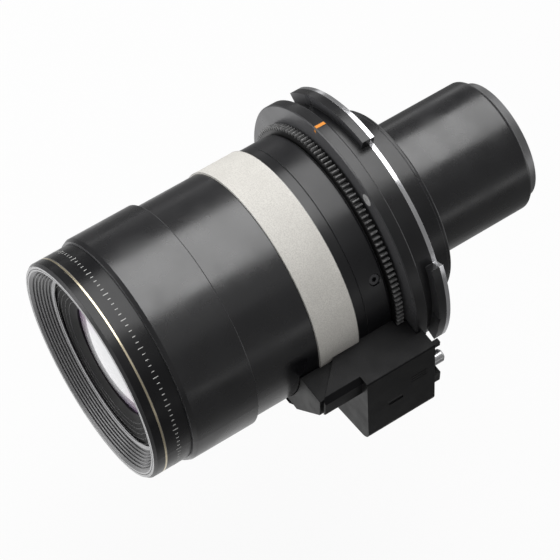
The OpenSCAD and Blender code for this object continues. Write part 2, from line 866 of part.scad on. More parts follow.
// Long screws that hold the plate and the ring to the flange
module bayonet_screws() {
    color(silver_c)
    around(plate_screw_count, plate_screw_phi)
        translate([plate_screw_r, y_plate_rear - screw_head_t, 0])
        screw(plate_screw_len, screw_head_r, screw_head_t, screw_r);
}
module guide_tube() {
    color(satin_c)
    difference() {
        union() {
            rod(guide_out, y_cam_front + guide_short, y_clamp + clamp_t);
            rod(clamp_r, y_clamp, y_clamp + clamp_t);
        }
        rod(guide_in, y_cam_front, y_plate);
        around(follower_count, follower_phi) {
            straight_slot(follower_r + slot_gap, y_variator_pin, y_variator_pin + variator_travel,
                guide_in - over, guide_out + over);
            straight_slot(follower_r + slot_gap, y_compensator_pin,
                y_compensator_pin + compensator_travel, guide_in - over, guide_out + over);
        }
    }
}
module rear_collar() {
    y_line = y_collar - collar_line_in;
    color(satin_c)
    turned([[clamp_r, y_plate - clamp_t], [clamp_r, y_plate], [collar_r, y_plate],
        [collar_r, y_line - collar_line], [collar_r - collar_line, y_line],
        [collar_r, y_line + collar_line], [collar_r, y_collar - collar_edge],
        [collar_r - collar_edge, y_collar], [rear_tube_r + fit, y_collar],
        [rear_tube_r + fit, y_collar_floor], [collar_r - collar_wall, y_collar_floor],
        [collar_r - collar_wall, y_plate - clamp_t]]);
}
module rear_tube() {
    color(satin_c)
    difference() {
        union() {
            turned(concat([[0, y_tube_front], [rear_tube_r, y_tube_front]],
                round_edge(rear_tube_r, y_tube_rear, tube_edge), [[0, y_tube_rear]]));
            rod(rear_tube_r + tube_flange_w, y_tube_front, y_collar_floor);
        }
        rod(rear_glass_r - ring_w, y_tube_front - over, y_rear_1 + over);
        rod(rear_bore, y_rear_1, y_tube_rear + over);
    }
}
module rear_lens_1() {
    color(glass_c) lens(rear_glass_r, y_rear_1, rear_1_t, rear_1_curve, rear_1_curve);
}
module rear_lens_2() {
    color(glass_c) lens(rear_glass_r, y_rear_2, rear_2_t, rear_2_curve, rear_2_curve);
}
module rear_lens_3() {
    color(glass_c) lens(rear_glass_r, y_rear_3, rear_3_t, rear_3_curve, rear_3_curve);
}
module rear_spacers() {
    color(black_c) {
        ring(rear_glass_r, rear_glass_r - ring_w, y_rear_1 + rear_1_t, y_rear_2);
        ring(rear_glass_r, rear_glass_r - ring_w, y_rear_2 + rear_2_t, y_rear_3);
    }
}
module rear_rim() {
    r_in = rear_glass_r - rim_wall;
    color(grey_c)
    turned([[rear_glass_r - ring_w, y_rear_retainer], [rear_glass_r, y_rear_retainer],
        [rear_glass_r, y_tube_rear + rim_chamfer], [rear_glass_r - rim_chamfer, y_rear],
        [r_in, y_rear], [r_in, y_rear - rim_wall / 2],
        [rear_glass_r - ring_w, y_rear_retainer + ring_w]]);
}

// Corner radii of an outline that is drawn inwards by a wall
function shrunk(radii, d) = [for (r = radii) r > 0 ? max(r - d, fit) : 0];

module block_outline(d) {
    polygon(rounded(inset(block_pts, d), shrunk(block_radii, d)));
}
// Space that the barrels need beside the block
module barrel_space(gap) {
    rod(casing_r + gap, y_nose - over, y_band_front);
    rod(band_out + gap, y_band_front - gap, y_band_rear + gap);
    rod(barrel_r + fit, y_band_rear, y_web_rear + over);
    rod(zoom_pitch + zoom_m + gap, y_web_rear, y_flange + over);
}
// Bulkhead of the base, just inside the cover
module web(y) {
    slab(y, y + base_web_t) block_outline(block_wall + clear);
}
// Hollow outline of the nose
module nose_outline() {
    difference() {
        polygon(nose_pts);
        polygon(inset(nose_pts, nose_wall));
    }
}
module motor_base() {
    y_inside = y_block_front + block_wall;
    color(black_c)
    difference() {
        union() {
            difference() {
                union() {
                    slab(y_nose, y_nose + nose_wall) polygon(nose_pts);
                    slab(y_nose, y_inside) nose_outline();
                    slab(y_inside, y_web_front) intersection() {
                        nose_outline();
                        block_outline(block_wall + clear);
                    }
                }
                translate([toe_in_x, y_nose, hood_toe_z]) rotate([-45, 0, 0])
                    translate([-over, -hood_t, -nose_chamfer])
                    cube([side_x, hood_t, 2 * nose_chamfer]);
            }
            ring_part(cradle_r, barrel_r - over, y_inside + clear, y_web_rear,
                cradle_from, cradle_to);
            web(y_web_front);
            web(y_web_rear - base_web_t);
            for (at = cover_screws_at)
                translate([at[0], 0, at[1]])
                rod(boss_r, y_web_rear - base_web_t, y_block_rear - block_wall);
        }
        barrel_space(clear);
        focus_pinion_space();
        at_pinion(focus_centre, focus_phi)
            rod(shaft_r + clear, y_web_front - over, y_motor_front + over);
        at_pinion(zoom_centre, zoom_phi)
            rod(shaft_r + clear, y_zoom_motor - over, y_web_rear + over);
        for (k = [0, 1])
            toward(base_screw_phi) {
                spoke(screw_r + fit, y_base_screw + k * base_screw_pitch,
                    barrel_r - over, cradle_r + over);
                spoke(screw_head_r + fit, y_base_screw + k * base_screw_pitch,
                    base_screw_seat, cradle_r + over);
            }
        for (at = cover_screws_at)
            translate([at[0], 0, at[1]]) rod(screw_r + fit, y_web_rear, y_block_rear);
    }
}
module base_screws() {
    color(silver_c)
    for (k = [0, 1])
        toward(base_screw_phi)
            radial_screw(base_screw_seat, y_base_screw + k * base_screw_pitch,
                base_screw_len - fit, screw_head_r, screw_head_t, screw_r);
}
module motor_cover() {
    color(black_c)
    difference() {
        union() {
            slab(y_block_front, y_block_rear) block_outline(0);
            slab(y_hood_front, y_block_front + over) polygon(hood_pts);
            translate([tab_x, y_block_rear - block_wall, tab_z])
                cube([tab_w, block_wall + tab_out, tab_h]);
        }
        slab(y_block_front + block_wall, y_block_rear - block_wall) block_outline(block_wall);
        slab(y_hood_front - over, y_block_front + block_wall + over)
            polygon(inset(nose_pts, -clear));
        translate([hood_x, y_hood_front + hood_corner, 0]) rotate([0, 0, -45])
            translate([-hood_x, -hood_x - hood_corner, -side_x])
            cube([2 * hood_x, hood_x, 2 * side_x]);
        barrel_space(clear);
        rod(flange_r + flange_gap, y_flange - flange_gap, y_block_rear + over);
        translate([pin_x, 0, pin_z]) rod(guide_pin_d / 2 - pin_neck + fit, y_web_rear, over);
        translate([connector_x - fit, y_web_rear, connector_z - fit])
            cube([connector_w + 2 * fit, -y_web_rear, connector_h + 2 * fit]);
        for (at = cover_screws_at)
            translate([at[0], 0, at[1]]) {
                rod(screw_r + clear, y_web_rear, over);
                rod(screw_head_r + run, y_block_rear - screw_head_t, over);
            }
        side_cut(pocket_y, pocket_z, pocket_w, pocket_h, pocket_d);
        for (k = [0:rib_count - 1])
            side_cut(y_block_rear - rib_len, rib_z - k * rib_pitch, rib_len, rib_w, rib_d);
    }
}
// Shallow cut in the outer side of the block, centred on a station and a height
module side_cut(y, z, w, h, d) {
    x = side_x + (top_z - z) * block_slope;
    translate([x - d, y - w / 2, z - h / 2]) rotate([0, atan(block_slope), 0])
        cube([over + d, w, h]);
}
module cover_screws() {
    color(silver_c)
    for (at = cover_screws_at)
        translate([at[0], y_block_rear - screw_head_t, at[1]])
        screw(screw_len - screw_head_t, screw_head_r, screw_head_t, screw_r);
}
// Motor body with a blind bearing bore between two more stations
module motor(r, y0, y1, bore_y0, bore_y1) {
    color(silver_c)
    difference() {
        rod(r, y0, y1);
        rod(shaft_r + run, bore_y0, bore_y1);
    }
}
module focus_motor() {
    at_pinion(focus_centre, focus_phi)
        motor(k * focus_motor_d / 2, y_motor_front, y_motor_front + motor_len,
            y_motor_front - over, y_motor_front + bearing_len);
}
module zoom_motor() {
    at_pinion(zoom_centre, zoom_phi)
        motor(k * zoom_motor_d / 2, y_zoom_motor - motor_len, y_zoom_motor,
            y_zoom_motor - bearing_len, y_zoom_motor + over);
}
module focus_shaft() {
    color(silver_c)
    at_pinion(focus_centre, focus_phi)
        rod(shaft_r, y_focus_gear, y_motor_front + bearing_len - run);
}
module zoom_shaft() {
    color(silver_c)
    at_pinion(zoom_centre, zoom_phi)
        rod(shaft_r, y_zoom_motor - bearing_len + run, y_gear_rear);
}
module focus_pinion() {
    color(brass_c)
    at_pinion(focus_centre, focus_phi)
        pinion(focus_m, focus_pinion_teeth, y_focus_gear + pinion_side, y_focus_rear - pinion_side);
}
module zoom_pinion() {
    color(brass_c)
    at_pinion(zoom_centre, zoom_phi)
        pinion(zoom_m, zoom_pinion_teeth, y_gear_front + pinion_side, y_gear_rear - pinion_side);
}
module circuit_board() {
    color([0.10, 0.32, 0.18])
    translate([board_x, y_motor_front, board_top - board_h]) {
        cube([board_t, y_zoom_motor - y_motor_front, board_h]);
        translate([-chip_t, chip_w / 2, board_h / 2]) cube([chip_t, chip_w, chip_w]);
    }
}
module connector_body() {
    color(black_c)
    difference() {
        translate([connector_x, y_web_rear, connector_z])
            cube([connector_w, connector_out - y_web_rear, connector_h]);
        translate([connector_x + connector_wall, connector_out - connector_deep,
            connector_z + connector_wall])
            cube([connector_w - 2 * connector_wall, connector_deep + over,
                connector_h - 2 * connector_wall]);
        contacts(fit);
    }
}
module contacts(gap) {
    step_x = connector_w / (contact_columns + 1);
    step_z = connector_h / (contact_rows + 1);
    for (i = [1:contact_columns]) for (k = [1:contact_rows])
        translate([connector_x + i * step_x, 0, connector_z + k * step_z])
        rod(contact_r + gap, connector_out - 2 * connector_deep - gap,
            connector_out - contact_recess);
}
module contact_pins() {
    color(brass_c) contacts(0);
}
// Pin whose neck runs through the cover and stops the plain part just behind it
module guide_pin() {
    r = guide_pin_d / 2;
    y_plain = y_block_rear + pin_neck_len;
    color(silver_c)
    translate([pin_x, 0, pin_z])
        turned([[0, y_web_rear], [r - pin_neck, y_web_rear], [r - pin_neck, y_plain],
            [r, y_plain], [r, pin_reach - pin_chamfer],
            [r - pin_chamfer, pin_reach], [0, pin_reach]]);
}

module focus_ring() {
    color(satin_c)
    difference() {
        union() {
            ring(focus_out, focus_in, y_focus_front, y_focus_gear);
            slab(y_focus_gear, y_focus_rear) difference() {
                rotate(focus_phi) gear_outline(focus_m, focus_teeth, 1);
                circle(r = focus_in);
            }
        }
        around(follower_count, follower_phi)
            cam_slot(follower_r + slot_gap, y_focus_pin, focus_in - over, focus_out + over,
                -focus_travel, focus_turn);
    }
}
module front_barrel() {
    color(black_c)
    turned([[sleeve_out + fit, y_shell_front], [shell_r - shell_step, y_shell_front],
        [shell_r, y_shell_front + shell_lead], [shell_r, y_shell_rear - shell_edge],
        [shell_r - shell_edge, y_shell_rear], [shell_in, y_shell_rear],
        [shell_in, y_shell_front + web_t], [sleeve_out + fit, y_shell_front + web_t]]);
}
module lens_sleeve() {
    tube_in = sleeve_out - sleeve_wall;
    inner_out = front_inner_r + inner_wall;
    inner_rear = y_front_retainer + 2 * retainer_t;
    stop_r = front_inner_r - glass_stop;
    color(satin_c)
    difference() {
        turned([[sleeve_out, y_sleeve_rear], [sleeve_out, y_shell_front],
            [sleeve_flange_r, y_shell_front], [sleeve_flange_r, y_shell_front - sleeve_flange_t],
            [sleeve_out, y_shell_front - sleeve_flange_t], [sleeve_out, y_sleeve_front],
            [baffle_r + fit, y_sleeve_front], [baffle_r + fit, y_baffle_seat],
            [front_glass_r + fit, y_baffle_seat], [front_glass_r + fit, y_glass_seat],
            [stop_r, y_glass_seat], [stop_r, y_inner_seat],
            [front_inner_r + fit, y_inner_seat], [front_inner_r + fit, inner_rear],
            [inner_out, inner_rear], [inner_out, y_inner_seat + sleeve_wall],
            [tube_in, y_inner_seat + sleeve_wall], [tube_in, y_sleeve_rear]]);
        around(follower_count, follower_phi)
            spoke(follower_r + fit, y_focus_pin, tube_in - over, sleeve_out + over);
    }
}
module name_ring() {
    color(black_c)
    turned([[name_in, y_name_front], [name_r - name_edge, y_name_front],
        [name_r, y_name_front + name_edge], [name_r, y_shell_front - name_edge],
        [name_r - name_edge, y_shell_front], [name_in, y_shell_front]]);
}
module trim_ring() {
    color(brass_c) ring(name_r, name_in, y_trim, y_name_front);
}
// Front ring with its ridged cone, whose ridges stand at right angles to the slope
module front_ring() {
    spigot_out = name_in - run;
    thread_r = sleeve_out + fit;
    y_spigot = y_shell_front - sleeve_flange_t - clear;
    y_land = y_baffle_front - land_lip;
    cone_end = [cone_in, y_land - cone_lip];
    cone_start = [rim_in, y_land - cone_lip - cone_depth];
    slope = cone_end - cone_start;
    sink = -left(unit(slope)) * ridge_depth;
    groove_out = rim_groove_r + rim_groove_w / 2;
    groove_in = rim_groove_r - rim_groove_w / 2;
    color(black_c)
    turned(concat(
        [[spigot_out, y_spigot], [spigot_out, y_trim], [name_r, y_trim],
         [name_r, y_front + rim_edge_len], [name_r - rim_edge, y_front],
         [groove_out, y_front], [groove_out, y_front + rim_groove_d],
         [groove_in, y_front + rim_groove_d], [groove_in, y_front],
         [rim_in + rim_edge, y_front], cone_start],
        [for (k = [0:cone_ridges - 1])
            let(p = cone_start + slope * (k + ridge_shares[0]) / cone_ridges,
                q = cone_start + slope * (k + ridge_shares[1]) / cone_ridges)
            each [p, p + sink, q + sink, q]],
        [cone_end, [land_in, y_land], [land_in, y_baffle_front], [thread_r, y_baffle_front],
         [thread_r, y_spigot]]));
}
// Station of the front surface of the front glass at radius r
function glass_y(r) = y_glass_vertex + sag(front_curve, r);
module baffle_ring() {
    skirt_out = front_glass_r - fit;
    skirt_in = skirt_out - skirt_t;
    y_lip = glass_y(front_clear_r) - glass_gap;
    color(black_c)
    turned([[baffle_r, y_baffle_front], [baffle_r - baffle_flat, y_baffle_front],
        [front_clear_r, y_lip - baffle_lip], [front_clear_r, y_lip],
        [skirt_in, y_baffle_seat + skirt_step], [skirt_in, glass_y(skirt_in) - 2 * glass_gap],
        [skirt_out, glass_y(skirt_out) - 2 * glass_gap], [skirt_out, y_baffle_seat],
        [baffle_r, y_baffle_seat]]);
}
module front_lens_1() {
    color(glass_c) lens(front_glass_r, y_glass_edge, front_glass_t, front_curve, 0);
}
module front_lens_2() {
    color(glass_c) lens(front_inner_r, y_inner_seat, lens_2_t, lens_2_curve, lens_2_curve);
}
module front_lens_3() {
    color(glass_c) lens(front_inner_r, y_lens_3, lens_3_t, lens_3_curve, lens_3_curve);
}
module front_spacer() {
    color(black_c)
        ring(front_inner_r, front_inner_r - ring_w, y_lens_3 - spacer_t, y_lens_3);
}
module front_retainer() {
    color(black_c)
        ring(front_inner_r, front_inner_r - ring_w, y_front_retainer, y_front_retainer + retainer_t);
}
module focus_followers() {
    color(brass_c)
    around(follower_count, follower_phi)
        spoke(follower_r, y_focus_pin, sleeve_out - sleeve_wall + clear, focus_out - slot_gap);
}

module zoom_gear() {
    color(black_c)
    difference() {
        slab(y_gear_front, y_gear_rear) difference() {
            rotate(zoom_phi) gear_outline(zoom_m, zoom_teeth, 1);
            circle(r = seat_r + run);
        }
        around(follower_count, drive_phi)
            spoke(drive_r + fit, y_drive, seat_r - over, drive_top + fit);
    }
}
module drive_pins() {
    color(silver_c)
    around(follower_count, drive_phi) spoke(drive_r, y_drive, drive_root, drive_top);
}
module cam_barrel() {
    color(satin_c)
    difference() {
        ring(cam_out, cam_in, y_cam_front, y_cam_rear);
        around(follower_count, follower_phi) {
            cam_slot(follower_r + slot_gap, y_variator_pin, cam_in - over, cam_out + over,
                variator_travel, zoom_turn);
            cam_slot(follower_r + slot_gap, y_compensator_pin, cam_in - over, cam_out + over,
                compensator_travel, zoom_turn);
        }
        around(follower_count, drive_phi)
            spoke(drive_r + fit, y_drive, drive_root - fit, cam_out + over);
    }
}

// Lens cell of a zoom group, open to the front, with a stop at its rear end
module cell(y0, y1, y_pin) {
    color(satin_c)
    difference() {
        rod(cell_r, y0, y1);
        rod(zoom_glass_r + fit, y0 - over, y1 - cell_stop_t);
        rod(zoom_glass_r - ring_w, y0, y1 + over);
        around(follower_count, follower_phi)
            spoke(follower_r + fit, y_pin, follower_root - fit, cell_r + over);
    }
}
module followers(y_pin) {
    color(brass_c)
    around(follower_count, follower_phi) spoke(follower_r, y_pin, follower_root, follower_tip);
}
module variator_cell() {
    cell(y_variator, y_variator_rear, y_variator_pin);
}
module variator_lens_1() {
    color(glass_c)
        lens(zoom_glass_r, y_variator_1, variator_lens_1_t, 0, variator_lens_1_curve);
}
module variator_lens_2() {
    color(glass_c)
        lens(zoom_glass_r, y_variator_2, variator_lens_2_t, variator_lens_2_curve,
            variator_lens_2_curve);
}
module variator_retainer() {
    color(black_c)
        ring(zoom_glass_r, zoom_glass_r - ring_w, y_variator_1 - retainer_t, y_variator_1);
}
module variator_followers() {
    followers(y_variator_pin);
}
module compensator_cell() {
    cell(y_compensator, y_compensator_rear, y_compensator_pin);
}
module compensator_lens() {
    color(glass_c)
        lens(zoom_glass_r, y_compensator_lens, compensator_lens_t, compensator_curve,
            compensator_curve);
}
module compensator_retainer() {
    color(black_c)
        ring(zoom_glass_r, zoom_glass_r - ring_w, y_compensator_lens - retainer_t,
            y_compensator_lens);
}
module compensator_followers() {
    followers(y_compensator_pin);
}

main_barrel();
casing();
barrel_screws();
grey_band();
set_screw();
mount_flange();
index_mark();
flange_screws();
bayonet_ring();
bayonet_plate();
bayonet_screws();
guide_tube();
rear_collar();
rear_tube();
rear_lens_1();
rear_lens_2();
rear_lens_3();
rear_spacers();
rear_rim();
motor_base();
base_screws();
motor_cover();
cover_screws();
focus_motor();
zoom_motor();
circuit_board();
connector_body();
contact_pins();
guide_pin();
focus_ring();
front_barrel();
lens_sleeve();
name_ring();
trim_ring();
front_ring();
baffle_ring();
front_lens_1();
front_lens_2();
front_lens_3();
front_spacer();
front_retainer();
focus_followers();
zoom_gear();
drive_pins();
cam_barrel();
variator_cell();
variator_lens_1();
variator_lens_2();
variator_retainer();
variator_followers();
compensator_cell();
compensator_lens();
compensator_retainer();
compensator_followers();
focus_shaft();
focus_pinion();
zoom_shaft();
zoom_pinion();
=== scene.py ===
# %% [markdown]
# # A motorised projection zoom lens
# The object is a long zoom lens for a large projector. It lies along Y: the front glass looks
# towards -Y, the bayonet that the projector grips is on +Y, and a small drive block hangs on +X.
# The solids come from a CAD model, so the shapes are already true. What is left for Blender is
# the looks: how each finish takes the light, and fine detail that is too small for CAD.

import math

import bpy
from mathutils import Matrix, Vector


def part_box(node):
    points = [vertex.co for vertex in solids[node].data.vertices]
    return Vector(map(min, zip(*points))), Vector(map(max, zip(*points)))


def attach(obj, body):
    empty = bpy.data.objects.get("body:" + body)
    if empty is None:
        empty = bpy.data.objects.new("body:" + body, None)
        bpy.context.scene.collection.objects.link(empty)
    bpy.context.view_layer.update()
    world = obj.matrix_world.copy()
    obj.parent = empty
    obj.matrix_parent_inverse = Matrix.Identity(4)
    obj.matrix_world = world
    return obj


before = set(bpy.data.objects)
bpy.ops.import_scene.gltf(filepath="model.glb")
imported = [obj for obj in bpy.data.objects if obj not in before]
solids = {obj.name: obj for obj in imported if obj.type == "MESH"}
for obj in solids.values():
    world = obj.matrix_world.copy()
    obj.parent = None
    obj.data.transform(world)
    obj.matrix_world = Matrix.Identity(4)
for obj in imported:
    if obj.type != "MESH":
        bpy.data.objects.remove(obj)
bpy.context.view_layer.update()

# %% [markdown]
# ## The camera
# A camera is a place, a direction and a focal length. Here all three were solved from the round
# edges of the lens, which show as ellipses in a picture. The camera's own axes are set as the
# columns of a matrix: right, up, and backwards, because a Blender camera looks along its -Z.

# %% Place the camera
CAMERA_PLACE = Vector((0.525247, -0.392246, 0.984426))
LOOK = Vector((-0.444, 0.301, -0.844)).normalized()
LEVEL = Vector((0.0, 0.0, 1.0))
FOCAL_LENGTH = 162.04
SENSOR_WIDTH = 36.0
NEAREST_SEEN = 0.05

camera_data = bpy.data.cameras.new("studio_camera")
camera_data.lens = FOCAL_LENGTH
camera_data.sensor_width = SENSOR_WIDTH
camera_data.clip_start = NEAREST_SEEN
camera = bpy.data.objects.new("studio_camera", camera_data)
right = LOOK.cross(LEVEL).normalized()
up = right.cross(LOOK)
camera_axes = Matrix((right, up, -LOOK)).transposed().to_4x4()
camera.matrix_world = Matrix.Translation(CAMERA_PLACE) @ camera_axes
bpy.context.scene.collection.objects.link(camera)
bpy.context.scene.camera = camera
bpy.context.scene.view_settings.view_transform = "Standard"
print("camera stands", round(CAMERA_PLACE.length, 3), "m from the seat face")

# %% [markdown]
# ## Building materials from nodes
# A Blender material is a small graph. A few short helpers keep the graphs readable: they start a
# material with plain values on the shader's own sockets, add a node, join sockets, and do sums.

# %% Helpers for node graphs
def start_finish(name, colour, metallic, roughness):
    finish = bpy.data.materials.new(name)
    finish.use_nodes = True
    shader = finish.node_tree.nodes["Principled BSDF"]
    shader.inputs["Base Color"].default_value = (*colour, 1.0)
    shader.inputs["Metallic"].default_value = metallic
    shader.inputs["Roughness"].default_value = roughness
    return finish, finish.node_tree, shader


def add_node(tree, kind, **settings):
    node = tree.nodes.new(kind)
    for key, value in settings.items():
        setattr(node, key, value)
    return node


def feed(tree, socket, source):
    if hasattr(source, "is_output"):
        tree.links.new(source, socket)
    else:
        socket.default_value = source


def calculate(tree, operation, *sources):
    node = add_node(tree, "ShaderNodeMath", operation=operation)
    for socket, source in zip(node.inputs, sources):
        feed(tree, socket, source)
    return node.outputs[0]


def combine(tree, x, y, z):
    node = add_node(tree, "ShaderNodeCombineXYZ")
    for socket, source in zip(node.inputs, (x, y, z)):
        feed(tree, socket, source)
    return node.outputs[0]


print("node helpers ready")

# %% [markdown]
# ## Coordinates that go round the lens
# Almost every surface here was turned on a lathe, so its marks run round the axis. The plain
# Object coordinates are changed into three numbers: the radius from the axis, the station along
# it, and the distance walked round the lens. A texture that reads them follows the lathe. The
# marks of the turning tool are noise, long round the lens and squeezed along it.

# %% Radius, station and the way round
TYPICAL_RADIUS = 0.055


def lathe_coordinates(tree):
    place = add_node(tree, "ShaderNodeTexCoord").outputs["Object"]
    split = add_node(tree, "ShaderNodeSeparateXYZ")
    feed(tree, split.inputs[0], place)
    x, station, z = split.outputs
    radius = calculate(tree, "SQRT", calculate(
        tree, "ADD", calculate(tree, "MULTIPLY", x, x), calculate(tree, "MULTIPLY", z, z)))
    walked = calculate(tree, "MULTIPLY", calculate(tree, "ARCTAN2", z, x), TYPICAL_RADIUS)
    return place, radius, station, walked


def noise(tree, place, scale, detail=2.0, roughness=0.5):
    node = add_node(tree, "ShaderNodeTexNoise")
    feed(tree, node.inputs["Vector"], place)
    node.inputs["Scale"].default_value = scale
    node.inputs["Detail"].default_value = detail
    node.inputs["Roughness"].default_value = roughness
    return node.outputs["Fac"]


def stretch(tree, source, low, high, new_low, new_high):
    node = add_node(tree, "ShaderNodeMapRange")
    for name, value in (("Value", source), ("From Min", low), ("From Max", high),
                        ("To Min", new_low), ("To Max", new_high)):
        feed(tree, node.inputs[name], value)
    return node.outputs["Result"]


def mix_colours(tree, share, first, second):
    node = add_node(tree, "ShaderNodeMix", data_type="RGBA")
    feed(tree, node.inputs["Factor"], share)
    for name, source in (("A", first), ("B", second)):
        socket = [s for s in node.inputs if s.name == name and s.type == "RGBA"][0]
        feed(tree, socket, source if hasattr(source, "is_output") else (*source, 1.0))
    return [s for s in node.outputs if s.type == "RGBA"][0]


def soft_edges(tree, radius, samples=4):
    node = add_node(tree, "ShaderNodeBevel", samples=samples)
    node.inputs["Radius"].default_value = radius
    return node.outputs["Normal"]


def relief(tree, height, depth, edge=None):
    node = add_node(tree, "ShaderNodeBump")
    node.inputs["Distance"].default_value = depth
    feed(tree, node.inputs["Height"], height)
    if edge is not None:
        feed(tree, node.inputs["Normal"], edge)
    return node.outputs["Normal"]


MARK_SCALE, MARK_DETAIL = 900.0, 3.0
MARKS_ROUND, MARKS_ACROSS = 0.05, 6.0


def lathe_marks(tree, radius, station, walked):
    squeezed = combine(tree, calculate(tree, "MULTIPLY", walked, MARKS_ROUND),
                       calculate(tree, "MULTIPLY", station, MARKS_ACROSS),
                       calculate(tree, "MULTIPLY", radius, MARKS_ACROSS))
    return noise(tree, squeezed, MARK_SCALE, MARK_DETAIL)


print("lathe coordinates ready, typical radius", TYPICAL_RADIUS, "m")

# %% [markdown]
# ## A white studio
# The floor is a large pale plane, well below the lens because the lens is held by its bayonet and
# doesn't stand on anything. Part of its colour is a plain glow that only camera, glossy and
# transmission rays see: it lifts the background to white, while lamps don't get brighter from it
# and a soft shadow of the lens stays on the floor. Black metal mirrors the floor, so in glossy
# rays the floor is white before the glass and behind the bayonet, and dim beside the barrels,
# like a studio with a white card at each end of the lens and dark cards along it.

# %% Make the floor
FLOOR_HEIGHT = -0.26
FLOOR_REACH = 6.0
FLOOR_GLOW = 0.88
FLOOR_PALE = (0.94, 0.94, 0.94)
FLOOR_ROUGHNESS = 0.9
CARD_PLACE = (-0.14, -0.25, FLOOR_HEIGHT)
CARD_EDGE = (0.20, 0.50)
REAR_CARD_EDGE = (0.45, 0.70)
DIM_FLOOR = 0.10

floor_finish, tree, shader = start_finish("pale_floor", FLOOR_PALE, 0.0, FLOOR_ROUGHNESS)
shader.inputs["Specular IOR Level"].default_value = 0.0
path = add_node(tree, "ShaderNodeLightPath")
seen = calculate(tree, "MINIMUM", calculate(tree, "ADD", calculate(
    tree, "ADD", path.outputs["Is Camera Ray"], path.outputs["Is Glossy Ray"]),
    path.outputs["Is Transmission Ray"]), 1.0)
glow = add_node(tree, "ShaderNodeEmission")
away = add_node(tree, "ShaderNodeVectorMath", operation="DISTANCE")
floor_place = add_node(tree, "ShaderNodeTexCoord").outputs["Object"]
feed(tree, away.inputs[0], floor_place)
away.inputs[1].default_value = CARD_PLACE
card = stretch(tree, away.outputs["Value"], *CARD_EDGE, 1.0, DIM_FLOOR)
sideways = add_node(tree, "ShaderNodeSeparateXYZ")
feed(tree, sideways.inputs[0], floor_place)
rear_card = stretch(tree, sideways.outputs["Y"], *REAR_CARD_EDGE, 0.0, 1.0)
feed(tree, glow.inputs["Strength"], calculate(
    tree, "MAXIMUM", calculate(tree, "SUBTRACT", 1.0, path.outputs["Is Glossy Ray"]),
    calculate(tree, "MAXIMUM", card, rear_card)))
blend = add_node(tree, "ShaderNodeMixShader")
feed(tree, blend.inputs[0], calculate(tree, "MULTIPLY", seen, FLOOR_GLOW))
feed(tree, blend.inputs[1], shader.outputs[0])
feed(tree, blend.inputs[2], glow.outputs[0])
feed(tree, tree.nodes["Material Output"].inputs["Surface"], blend.outputs[0])

floor_mesh = bpy.data.meshes.new("floor")
corners = [(x * FLOOR_REACH, y * FLOOR_REACH, FLOOR_HEIGHT)
           for x, y in ((-1, -1), (1, -1), (1, 1), (-1, 1))]
floor_mesh.from_pydata(corners, [], [(0, 1, 2, 3)])
floor_mesh.materials.append(floor_finish)
floor = bpy.data.objects.new("floor", floor_mesh)
bpy.context.scene.collection.objects.link(floor)
print("floor at", FLOOR_HEIGHT, "m, glow share", FLOOR_GLOW)

# %% [markdown]
# ## Soft light
# Black metal shows hardly any colour of its own: what the eye sees is the shape of the lights in
# it. A long panel overhead gives the barrels their broad highlight. Its edges run along the lens,
# so the highlight is an even stripe. Weaker panels fill the right side and the front, and the
# world adds an even grey.

# %% Hang the panels and set the world
PANELS = {
    "stripe_panel": ((-0.375, 0.265, 1.146), (1.45, 0.9), 14.2),
    "right_panel": ((0.75, -0.10, 1.50), (1.4, 1.4), 1.5),
    "front_panel": ((-0.70, -1.25, 0.20), (1.2, 0.9), 12.0),
}
for panel_name, (place, size, power) in PANELS.items():
    lamp = bpy.data.lights.new(panel_name, "AREA")
    lamp.shape = "RECTANGLE"
    lamp.size, lamp.size_y = size
    lamp.energy = power
    panel = bpy.data.objects.new(panel_name, lamp)
    panel.location = place
    backwards = Vector(place).normalized()
    across = Vector((0.0, 1.0, 0.0)).cross(backwards).normalized()
    along = backwards.cross(across)
    panel.rotation_euler = Matrix((across, along, backwards)).transposed().to_euler()
    bpy.context.scene.collection.objects.link(panel)
    print(panel_name, "gives", power, "W")

WORLD_GREY = 0.22

world = bpy.data.worlds.new("studio_world")
world.use_nodes = True
sky = world.node_tree.nodes["Background"]
sky.inputs["Color"].default_value = (1.0, 1.0, 1.0, 1.0)
sky.inputs["Strength"].default_value = WORLD_GREY
bpy.context.scene.world = world
print("world grey", WORLD_GREY)

# %% [markdown]
# ## Black anodised aluminium
# The barrels are turned aluminium with a black anodised skin. It is a very dark, half-glossy
# surface with fine marks that run round the lens. The marks are noise squeezed along the axis,
# given to the bump, and a slower noise makes some places a little duller than others. Faces that
# look along the axis get a lighter grey mixed in by the normal: a painted reflection of the
# studio.

# %% Mix the black finish
WORN_BLACK = (0.05, 0.05, 0.055)
PATCH_SCALE, PATCH_DETAIL = 60.0, 3.0
BLACK_EDGE = 0.0003


def black_metal(name, dark, painted_face_reflection, roughness, mark_depth, gloss):
    finish, tree, shader = start_finish(name, dark, 0.0, roughness)
    shader.inputs["Specular IOR Level"].default_value = gloss
    place, radius, station, walked = lathe_coordinates(tree)
    lathe = lathe_marks(tree, radius, station, walked)
    patches = noise(tree, place, PATCH_SCALE, PATCH_DETAIL)
    facing = add_node(tree, "ShaderNodeSeparateXYZ")
    feed(tree, facing.inputs[0], add_node(tree, "ShaderNodeNewGeometry").outputs["Normal"])
    # painted reflection: faces that look along the axis get a grey base colour for the white
    # studio they mirror
    across = stretch(tree, calculate(tree, "ABSOLUTE", facing.outputs["Y"]), 0.55, 0.9, 0.0, 1.0)
    base = mix_colours(tree, across, dark, painted_face_reflection)
    worn = mix_colours(tree, stretch(tree, patches, 0.35, 0.75, 0.0, 0.05), base, WORN_BLACK)
    feed(tree, shader.inputs["Base Color"], worn)
    feed(tree, shader.inputs["Roughness"],
         stretch(tree, patches, 0.3, 0.7, roughness - 0.05, roughness + 0.07))
    feed(tree, shader.inputs["Normal"],
         relief(tree, lathe, mark_depth, soft_edges(tree, BLACK_EDGE)))
    return finish


